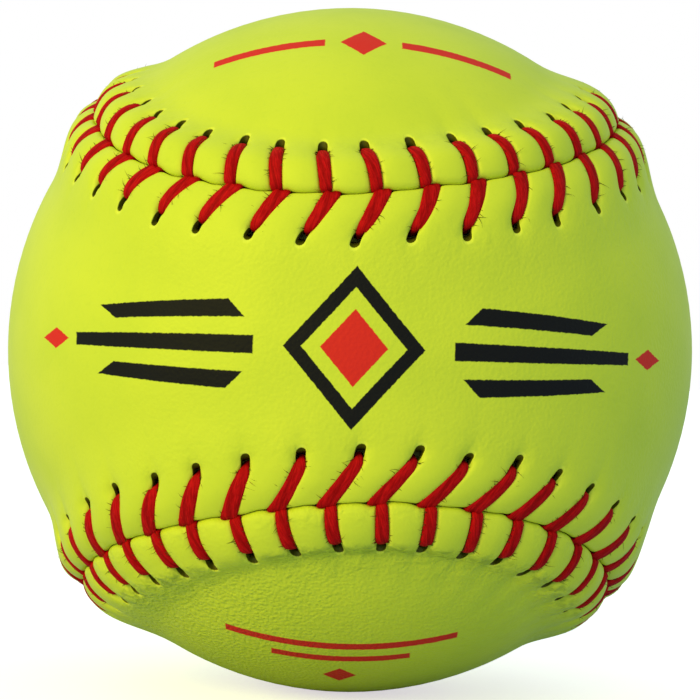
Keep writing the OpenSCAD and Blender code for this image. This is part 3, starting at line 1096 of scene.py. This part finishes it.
class SOFTBALL_OT_cover(bpy.types.Operator):
    """Builds the two leather cover panels with their raised, grooved lips"""

    bl_idname = "softball.cover"
    bl_label = "Cover panels"

    def execute(self, context):
        seam = context.scene.softball_seam
        line = SeamLine(seam)
        for side, name in ((FRONT, "front"), (BACK, "back")):
            leather = leather_material(context.scene.softball_finish, name, side)
            piece = build_panel(PanelShape(line, seam, side), "leather_panel_" + name)
            dress(piece, leather, "cover", "cover_panel_" + name)
        return {"FINISHED"}


class SOFTBALL_OT_core(bpy.types.Operator):
    """Gives the moulded core its foam"""

    bl_idname = "softball.core"
    bl_label = "Core"

    def execute(self, context):
        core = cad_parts["core"]
        core.data.materials.clear()
        core.data.materials.append(foam_material(context.scene.softball_finish))
        return {"FINISHED"}


class NodeTree:
    """Adds nodes whose inputs are given as values or as the outputs of other nodes."""

    def __init__(self, tree):
        self.tree = tree

    def add(self, kind, inputs=None, output=0, **settings):
        """Adds a node and returns one of its outputs, or all of them for None."""
        node = self.tree.nodes.new("ShaderNode" + kind)
        for name, value in settings.items():
            setattr(node, name, value)
        for name, value in (inputs or {}).items():
            if isinstance(value, bpy.types.NodeSocket):
                self.tree.links.new(value, node.inputs[name])
            else:
                node.inputs[name].default_value = value
        return node.outputs if output is None else node.outputs[output]

    def math(self, operation, first, second=0.0, third=0.0):
        """One step of arithmetic."""
        return self.add("Math", {0: first, 1: second, 2: third}, operation=operation)

    def mix(self, share, first, second):
        """Two colours mixed by a share, each given as three numbers or as an output."""
        colours = [part if isinstance(part, bpy.types.NodeSocket) else (*part, 1) for part in (first, second)]
        return self.add("Mix", {0: share, 6: colours[0], 7: colours[1]}, output=2, data_type="RGBA")

    def product(self, first, *others):
        """Numbers multiplied together."""
        for other in others:
            first = self.math("MULTIPLY", first, other)
        return first

    def ramp(self, value, low, high, start=0.0, end=1.0):
        """A value carried smoothly from one range to another."""
        inputs = {0: value, 1: low, 2: high, 3: start, 4: end}
        return self.add("MapRange", inputs, interpolation_type="SMOOTHSTEP")

    def group(self, made, inputs, output=0):
        """Places a node group and returns one of its outputs, or all of them for None."""
        return self.add("Group", inputs, output, node_tree=made)

    def noise(self, place, scale, detail, output=0, **more):
        """Noise with so many cells to one unit of its place, as a number or, from output 1, as three."""
        return self.add("TexNoise", {"Vector": place, "Scale": scale, "Detail": detail, **more}, output)

    def bump(self, strength, depth, height):
        """The surface's normal, bent by a height that is so deep."""
        return self.add("Bump", {"Strength": strength, "Distance": depth, "Height": height})

    def place(self):
        """Where the surface is, from the middle of the ball."""
        return self.add("TexCoord", output=3)

    def attribute(self, name):
        """A value that the mesh carries."""
        return self.add("Attribute", output=2, attribute_name=name)

    def parts(self, vector):
        """The three numbers of a vector."""
        return self.add("SeparateXYZ", {0: vector}, None)

    def wire(self, node, **sockets):
        """Links outputs to the sockets of a node."""
        for name, value in sockets.items():
            self.tree.links.new(value, node.inputs[name.replace("_", " ")])


def new_group(name, inputs, outputs):
    """A shader node group of numbers, with a vector where an input is so named. Returns it, its tree,
    its inputs and its last node."""
    made = bpy.data.node_groups.new(name, "ShaderNodeTree")
    for kind, sockets in (("INPUT", inputs), ("OUTPUT", outputs)):
        for socket in sockets:
            form = "NodeSocketVector" if socket == "Vector" else "NodeSocketFloat"
            made.interface.new_socket(name=socket, in_out=kind, socket_type=form)
    entry = made.nodes.new("NodeGroupInput")
    leave = made.nodes.new("NodeGroupOutput")
    return made, NodeTree(made), entry.outputs, leave


def grain_group():
    """Pebbles and pores: small cells whose edges sink, broken up by finer noise."""
    made, tree, entry, leave = new_group("pebble_grain", ("Vector", "Cells", "Breakup"), ("Height", "Pores"))
    cells = tree.add("TexVoronoi", {"Vector": entry["Vector"], "Scale": entry["Cells"]}, feature="SMOOTH_F1")
    fine = tree.noise(entry["Vector"], entry["Cells"], 3.0)
    broken = tree.product(tree.math("SUBTRACT", fine, 0.5), entry["Breakup"])
    height = tree.math("ADD", tree.ramp(cells, 0.05, 0.75, 1.0, 0.0), broken)
    tree.wire(leave, Height=height, Pores=tree.ramp(cells, 0.45, 0.85))
    return made


def fibre_group():
    """Fine fibres that run along a thread, from its section's direction and its length."""
    made, tree, entry, leave = new_group("waxed_fibres", ("Fibres", "Stretch"), ("Height", "Streaks", "Ply"))
    along = tree.product(tree.attribute("along"), entry["Stretch"])
    ply_cos = tree.attribute("ply_cos")
    place = tree.add("CombineXYZ", {0: ply_cos, 1: tree.attribute("ply_sin"), 2: along})
    fibres = tree.noise(place, entry["Fibres"], 4.0, Roughness=0.65)
    between = tree.ramp(tree.math("ABSOLUTE", ply_cos), 0.92, 1.0)
    tree.wire(leave, Height=fibres, Streaks=tree.ramp(fibres, 0.36, 0.66), Ply=between)
    return made


# What a printed mark is told: where the surface is, where the mark is, and its size
MARK_INPUTS = ("Across", "Up", "Middle across", "Middle up", "Half width", "Half height")
# How soft a mark's edge is in mm, how far it strays on the pebbles, and the cells to a metre of that
INK_EDGE = 0.09
INK_STRAY = 0.22 * MM
INK_CELLS = 2200.0


def diamond_group():
    """The mask of a printed diamond with crisp edges."""
    made, tree, entry, leave = new_group("diamond_mark", MARK_INPUTS, ("Mask",))
    across = tree.math("ABSOLUTE", tree.math("SUBTRACT", entry["Across"], entry["Middle across"]))
    up = tree.math("ABSOLUTE", tree.math("SUBTRACT", entry["Up"], entry["Middle up"]))
    across_share = tree.math("DIVIDE", across, entry["Half width"])
    reach = tree.math("ADD", across_share, tree.math("DIVIDE", up, entry["Half height"]))
    away = tree.product(tree.math("SUBTRACT", reach, 1.0), entry["Half width"])
    tree.wire(leave, Mask=tree.ramp(away, -INK_EDGE, INK_EDGE, 1.0, 0.0))
    return made


def bar_group():
    """The mask of a printed bar with slanted ends."""
    made, tree, entry, leave = new_group("bar_mark", MARK_INPUTS + ("Slant",), ("Mask",))
    up = tree.math("SUBTRACT", entry["Up"], entry["Middle up"])
    across = tree.math("SUBTRACT", entry["Across"], entry["Middle across"])
    sheared = tree.math("ABSOLUTE", tree.math("MULTIPLY_ADD", up, entry["Slant"], across))
    out_across = tree.math("SUBTRACT", sheared, entry["Half width"])
    out_up = tree.math("SUBTRACT", tree.math("ABSOLUTE", up), entry["Half height"])
    away = tree.math("MAXIMUM", out_across, out_up)
    tree.wire(leave, Mask=tree.ramp(away, -INK_EDGE, INK_EDGE, 1.0, 0.0))
    return made


# The printed marks, in millimetres across and up the ball from the middle of the front waist:
# diamonds as middle, half width and half height, and bars with the slant of their ends too
BLACK_DIAMOND = (0, 0, 8.6, 9.8)
BARE_DIAMOND = (0, 0, 6.4, 7.3)
RED_DIAMONDS = (
    (0, 0, 4.1, 4.7),
    (-38.0, 0, 1.9, 2.2),
    (38.0, 0, 1.9, 2.2),
    (0, 47.0, 3.0, 3.5),
    (0, -53.5, 2.2, 2.6),
)
BLACK_BARS = (
    (-22.6, 4.6, 8.2, 1.15, 0.9),
    (-23.6, 0.0, 11.4, 1.15, 0.0),
    (-22.6, -4.6, 8.2, 1.15, -0.9),
    (22.6, 4.6, 8.2, 1.15, -0.9),
    (23.6, 0.0, 11.4, 1.15, 0.0),
    (22.6, -4.6, 8.2, 1.15, 0.9),
)
RED_BARS = (
    (-12.2, 47.0, 7.2, 0.95, 0.0),
    (12.2, 47.0, 7.2, 0.95, 0.0),
    (0, -44.4, 15.0, 0.75, 0.0),
    (0, -47.8, 9.0, 0.75, 0.0),
)


def print_group():
    """The masks of the black and the red marks, laid on the front of the ball."""
    made, tree, entry, leave = new_group("printed_marks", ("Vector",), ("Black", "Red"))
    rough = tree.noise(entry["Vector"], INK_CELLS, 2.0, output=1)
    stray = tree.add("VectorMath", {0: rough, 1: (0.5, 0.5, 0.5)}, operation="SUBTRACT")
    scaled = tree.add("VectorMath", {0: stray, "Scale": INK_STRAY}, operation="SCALE")
    place = tree.add("VectorMath", {0: entry["Vector"], 1: scaled}, operation="ADD")
    sideways, inwards, upwards = tree.parts(place)
    across = tree.math("DIVIDE", sideways, MM)
    toward = tree.product(inwards, -1.0)
    up = tree.product(tree.math("ARCTAN2", upwards, toward), FACE_RADIUS / MM)
    diamond, bar = diamond_group(), bar_group()

    def mark(group, *sizes):
        return tree.group(group, dict(zip(MARK_INPUTS + ("Slant",), (across, up, *sizes))))

    def together(masks):
        joined = masks[0]
        for mask in masks[1:]:
            joined = tree.math("MAXIMUM", joined, mask)
        return joined

    ring = tree.math("SUBTRACT", mark(diamond, *BLACK_DIAMOND), mark(diamond, *BARE_DIAMOND))
    black = together([ring] + [mark(bar, *sizes) for sizes in BLACK_BARS])
    red_diamonds = [mark(diamond, *sizes) for sizes in RED_DIAMONDS]
    red = together(red_diamonds + [mark(bar, *sizes) for sizes in RED_BARS])
    front = tree.math("GREATER_THAN", toward, 0.0)
    tree.wire(leave, Black=tree.product(black, front), Red=tree.product(red, front))
    return made


def shared(name, make):
    """A node group that is built once and used by several materials."""
    return bpy.data.node_groups.get(name) or make()


def new_material(name, roughness, specular):
    """A material with a Principled shader. Returns it, its tree and the shader."""
    material = bpy.data.materials.new(name)
    material.use_nodes = True
    shader = material.node_tree.nodes["Principled BSDF"]
    shader.inputs["Roughness"].default_value = roughness
    shader.inputs["Specular IOR Level"].default_value = specular
    return material, NodeTree(material.node_tree), shader


# How each hide's grain changes: across the ball between two places in mm, from one depth in mm to another,
# and up it, from one share to another. Then its wrinkles' depth in mm, and the strength of the painted shade
# in them
HIDES = {
    FRONT: {
        "across": (-34.0, -20.0, 0.008, 0.024),
        "up": (-60.0, -50.0, 1.0, 1.0),
        "wrinkle": 0.05,
        "shaded": 0.0,
    },
    BACK: {
        "across": (-15.0, 8.0, 0.092, 0.040),
        "up": (-10.0, 12.0, 1.0, 0.14),
        "wrinkle": 0.22,
        "shaded": 0.5,
    },
}


# Cells to a metre of the leather's pebbles, of its tint, of the patches where it wrinkles and of the
# wrinkles themselves
PEBBLE_CELLS = 2200.0
MOTTLE_CELLS = 85.0
PATCH_CELLS = 60.0
WRINKLE_CELLS = 820.0
# How much of the deeper tone the pores take, and how strong the painted highlight is on the rims of grooves
# and of holes
PORE_TONE = 0.10
GROOVE_RIM_HIGHLIGHT = 0.40
CUT_RIM_HIGHLIGHT = 0.9
# Ramps by the distance from the seam in mm: where the grain is free of the lip, and where the lip's foot, its
# tuck with its painted shade and its roll into the gap wrinkle
GRAIN_FREED = (5.0, 8.5, 0.2, 1.0)
FOOT_STARTS, FOOT_ENDS = (3.8, 5.8), (7.5, 12.0, 1.0, 0.05)
TUCK_STARTS, TUCK_ENDS = (4.0, 5.8), (6.8, 8.6, 1.0, 0.0)
ROLL_ENDS = (0.5, 2.6, 0.8, 0.0)
# How high the ink stands, and how much rougher it is than the leather
INK_HEIGHT = 0.008 * MM
INK_ROUGHNESS = 0.2


def leather_material(finish, name, side):
    """Optic leather: fine pebbles, a painted highlight on the rims of the grooves and the holes, painted
    shade in the grooves, the wrinkles and the holes, pores, and the print.
    """
    material, tree, shader = new_material("optic_leather_" + name, 0.45, 0.18)
    place = tree.place()
    pebbles = {"Vector": place, "Cells": PEBBLE_CELLS, "Breakup": 1.2}
    grain = tree.group(shared("pebble_grain", grain_group), pebbles, None)
    marks = tree.group(shared("printed_marks", print_group), {"Vector": place}, None)
    groove = tree.attribute("groove")
    shade = tree.attribute("shade")
    distance = tree.attribute("distance")

    mottle = tree.noise(place, MOTTLE_CELLS, 3.0)
    blotch = tree.ramp(mottle, 0.30, 0.75, 0.0, 0.22)
    base = tree.mix(blotch, finish.leather, finish.leather_deep)
    pored = tree.mix(tree.product(grain["Pores"], PORE_TONE), base, finish.leather_deep)
    # Painted highlight on the rims of the grooves, and on the cut rims of the holes that the shade layer
    # marks
    rim = tree.product(tree.ramp(groove, 0.02, 0.25), tree.ramp(groove, 0.30, 0.70, 1.0, 0.0))
    cut = tree.product(tree.ramp(shade, 0.02, 0.12), tree.ramp(shade, 0.20, 0.45, 1.0, 0.0))
    pale = tree.math("MAXIMUM", tree.product(rim, GROOVE_RIM_HIGHLIGHT), tree.product(cut, CUT_RIM_HIGHLIGHT))
    highlighted = tree.mix(pale, pored, finish.leather_edge)
    # Painted shade on the floor of each groove, beside the thread
    groove_shaded = tree.mix(tree.ramp(groove, 0.55, 1.0, 0.0, 0.8), highlighted, finish.leather_deep)

    # Wrinkles gather at the foot of the lip, where the leather is drawn up, and where it rolls into the gap
    hide = HIDES[side]
    sideways, _, upwards = tree.parts(place)
    across = tree.math("DIVIDE", sideways, MM)
    up = tree.math("DIVIDE", upwards, MM)
    rougher = tree.ramp(up, *hide["up"])
    relaxed = tree.product(rougher, tree.ramp(distance, *GRAIN_FREED))
    grain_depth = tree.product(tree.ramp(across, *hide["across"]), relaxed, MM)
    foot = tree.product(tree.ramp(distance, *FOOT_STARTS), tree.ramp(distance, *FOOT_ENDS))
    rolled = tree.ramp(distance, *ROLL_ENDS)
    patch = tree.noise(place, PATCH_CELLS, 1.0)
    drawn_up = tree.product(tree.math("MAXIMUM", foot, rolled), tree.ramp(patch, 0.38, 0.62), rougher)
    lumps = tree.math("MULTIPLY_ADD", grain_depth, 0.4, tree.product(drawn_up, 2.0 * hide["wrinkle"] * MM))
    wrinkle = tree.noise(place, WRINKLE_CELLS, 2.0, Distortion=0.4)
    # Painted shade in the wrinkles of the lip's tuck
    tuck = tree.product(tree.ramp(distance, *TUCK_STARTS), tree.ramp(distance, *TUCK_ENDS))
    wrinkle_shade_mask = tree.product(drawn_up, tuck, tree.ramp(wrinkle, 0.36, 0.60, hide["shaded"], 0.0))
    wrinkle_shaded = tree.mix(wrinkle_shade_mask, groove_shaded, finish.leather_fold)
    blackened = tree.mix(marks["Black"], wrinkle_shaded, finish.black_ink)
    printed = tree.mix(marks["Red"], blackened, finish.red_ink)
    # Painted shade: the shade layer darkens the walls of the holes, the cut edge in the gap and the under
    # face
    coloured = tree.mix(tree.ramp(shade, 0.2, 0.9), printed, finish.hole)
    height = tree.math("MULTIPLY_ADD", grain["Height"], grain_depth, tree.product(wrinkle, lumps))
    ink = tree.math("ADD", marks["Black"], marks["Red"])
    raised = tree.math("MULTIPLY_ADD", ink, INK_HEIGHT, height)
    bump = tree.bump(1.0, 1.0, raised)
    rough = tree.math("MULTIPLY_ADD", ink, INK_ROUGHNESS, tree.math("MULTIPLY_ADD", mottle, 0.14, 0.36))
    tree.wire(shader, Base_Color=coloured, Roughness=rough, Normal=bump)
    return material


# How deep the thread's fibres and the foam's cells are
FIBRE_DEPTH = 0.08 * MM
FOAM_DEPTH = 0.08 * MM
# Cells to a metre of the foam, and of the patches where the loose fibres are browner
FOAM_CELLS = 1100.0
FUZZ_CELLS = 900.0


def thread_material(finish):
    """Waxed red thread: fibres along both plies, with painted shade between them and where it dives into the
    holes and the gap.
    """
    material, tree, shader = new_material("waxed_thread", 0.7, 0.06)
    fibres = tree.group(shared("waxed_fibres", fibre_group), {"Fibres": 5.0, "Stretch": 0.16}, None)
    deep = finish.thread_deep_and_shade
    streaked = tree.mix(tree.product(fibres["Streaks"], 0.6), finish.thread, deep)
    # Painted shade between the two plies
    ply_shaded = tree.mix(tree.product(fibres["Ply"], 0.55), streaked, deep)
    # Painted shade where the thread dives into the holes and the gap
    dive_shaded = tree.mix(tree.ramp(tree.attribute("end"), 0.45, 1.0, 0.0, 0.7), ply_shaded, deep)
    bump = tree.bump(0.8, FIBRE_DEPTH, fibres["Height"])
    rough = tree.math("MULTIPLY_ADD", fibres["Streaks"], 0.2, 0.6)
    tree.wire(shader, Base_Color=dive_shaded, Roughness=rough, Normal=bump)
    return material


def fuzz_material(finish):
    """Loose fibres of the thread, in patches of a dark red and a dark olive brown."""
    material, tree, shader = new_material("thread_fuzz", 0.7, 0.1)
    place = tree.place()
    patch = tree.noise(place, FUZZ_CELLS, 1.0)
    tint = tree.mix(tree.ramp(patch, 0.30, 0.50), finish.thread_deep_and_shade, finish.fuzz)
    tree.wire(shader, Base_Color=tint)
    return material


def foam_material(finish):
    """Moulded foam with fine open cells."""
    material, tree, shader = new_material("moulded_foam", 0.8, 0.2)
    place = tree.place()
    cells = {"Vector": place, "Cells": FOAM_CELLS, "Breakup": 0.8}
    grain = tree.group(shared("pebble_grain", grain_group), cells, None)
    tint = tree.mix(tree.product(grain["Pores"], 0.6), finish.foam, finish.hole)
    bump = tree.bump(0.7, FOAM_DEPTH, grain["Height"])
    tree.wire(shader, Base_Color=tint, Normal=bump)
    return material


# The soft light at the upper left, in metres from the middle of the ball
KEY_PLACE = (-0.80, -0.89, 0.365)
KEY_SIZE = 0.7
KEY_TINT = (1.0, 0.845, 0.04)
FLOOR_SIZE = 6
# The floor and the sky look white, and the light that they throw on the ball is tinted to give the
# leather its shades
FLOOR_SEEN = (0.9, 0.9, 0.9)
FLOOR_THROWN = (0.47, 0.58, 0.95)
FLOOR_GLOW = (0.64, 0.60, 0.64)
SKY_SEEN = (1, 1, 1)
SKY_THROWN = (0.78, 1.0, 0.85)


def key_light(watts):
    """A soft square light that looks at the middle of the ball."""
    data = bpy.data.lights.new("key", "AREA")
    data.size = KEY_SIZE
    data.energy = watts
    data.color = KEY_TINT
    light = bpy.data.objects.new("key", data)
    light.location = KEY_PLACE
    light.rotation_euler = (-Vector(KEY_PLACE)).to_track_quat("-Z", "Y").to_euler()
    bpy.context.scene.collection.objects.link(light)


class SOFTBALL_OT_stage(bpy.types.Operator):
    """Sets up the floor, the soft studio light and the camera"""

    bl_idname = "softball.stage"
    bl_label = "Studio"

    def execute(self, context):
        stage = context.scene.softball_stage
        scene = context.scene
        scene.view_settings.view_transform = "Standard"

        bm = bmesh.new()
        bmesh.ops.create_grid(bm, x_segments=1, y_segments=1, size=FLOOR_SIZE)
        bmesh.ops.translate(bm, vec=(0, 0, -FACE_RADIUS), verts=bm.verts)
        floor = finish_mesh(bm, "floor")
        material, tree, shader = new_material("pale_floor", 0.9, 0.5)
        seen = tree.add("LightPath")
        shader.inputs["Emission Color"].default_value = (*FLOOR_GLOW, 1)
        tree.wire(shader, Base_Color=tree.mix(seen, FLOOR_THROWN, FLOOR_SEEN), Emission_Strength=seen)
        floor.data.materials.append(material)

        world = bpy.data.worlds.new("studio")
        world.use_nodes = True
        tree = NodeTree(world.node_tree)
        seen = tree.add("LightPath")
        strength = tree.ramp(seen, 0.0, 1.0, stage.fill, 1.0)
        background = world.node_tree.nodes["Background"]
        tree.wire(background, Color=tree.mix(seen, SKY_THROWN, SKY_SEEN), Strength=strength)
        scene.world = world

        key_light(stage.key_watts)

        # Before its turns the camera looks along +Y, with Z upwards
        upright = Matrix(((1, 0, 0), (0, 0, 1), (0, -1, 0)))
        turn = (
            Matrix.Rotation(-stage.roll, 3, "Z")
            @ Matrix.Rotation(stage.swing, 3, "Y")
            @ Matrix.Rotation(stage.tilt, 3, "X")
        )
        axes = (turn @ upright).transposed()
        data = bpy.data.cameras.new("camera")
        data.lens = stage.lens
        data.clip_start = 10 * MM
        camera = bpy.data.objects.new("camera", data)
        camera.matrix_world = Matrix.Translation(axes @ Vector((0, 0, stage.distance))) @ axes.to_4x4()
        scene.collection.objects.link(camera)
        scene.camera = camera
        return {"FINISHED"}


class SOFTBALL_PT_sidebar(bpy.types.Panel):
    """The ball's sizes and its builders"""

    bl_idname = "SOFTBALL_PT_sidebar"
    bl_label = "Softball"
    bl_space_type = "VIEW_3D"
    bl_region_type = "UI"
    bl_category = "Softball"

    def draw(self, context):
        for place, kind in GROUPS.items():
            for name in kind.__annotations__:
                self.layout.prop(getattr(context.scene, place), name)
        for operator in OPERATORS:
            self.layout.operator(operator.bl_idname)


GROUPS = {
    "softball_seam": SeamSettings,
    "softball_thread": ThreadSettings,
    "softball_finish": FinishSettings,
    "softball_stage": StageSettings,
}
OPERATORS = (SOFTBALL_OT_core, SOFTBALL_OT_cover, SOFTBALL_OT_thread, SOFTBALL_OT_fuzz, SOFTBALL_OT_stage)


def register():
    """Adds the settings, the builders and the sidebar."""
    for name, group in GROUPS.items():
        bpy.utils.register_class(group)
        setattr(bpy.types.Scene, name, bpy.props.PointerProperty(type=group))
    for part in OPERATORS + (SOFTBALL_PT_sidebar,):
        bpy.utils.register_class(part)


def unregister():
    """Takes them away again."""
    for part in (SOFTBALL_PT_sidebar,) + OPERATORS[::-1]:
        bpy.utils.unregister_class(part)
    for name, group in GROUPS.items():
        delattr(bpy.types.Scene, name)
        bpy.utils.unregister_class(group)


def main():
    """Builds the ball."""
    register()
    bpy.ops.softball.core()
    bpy.ops.softball.cover()
    bpy.ops.softball.thread()
    bpy.ops.softball.fuzz()
    bpy.ops.softball.stage()


if __name__ == "__main__":
    main()
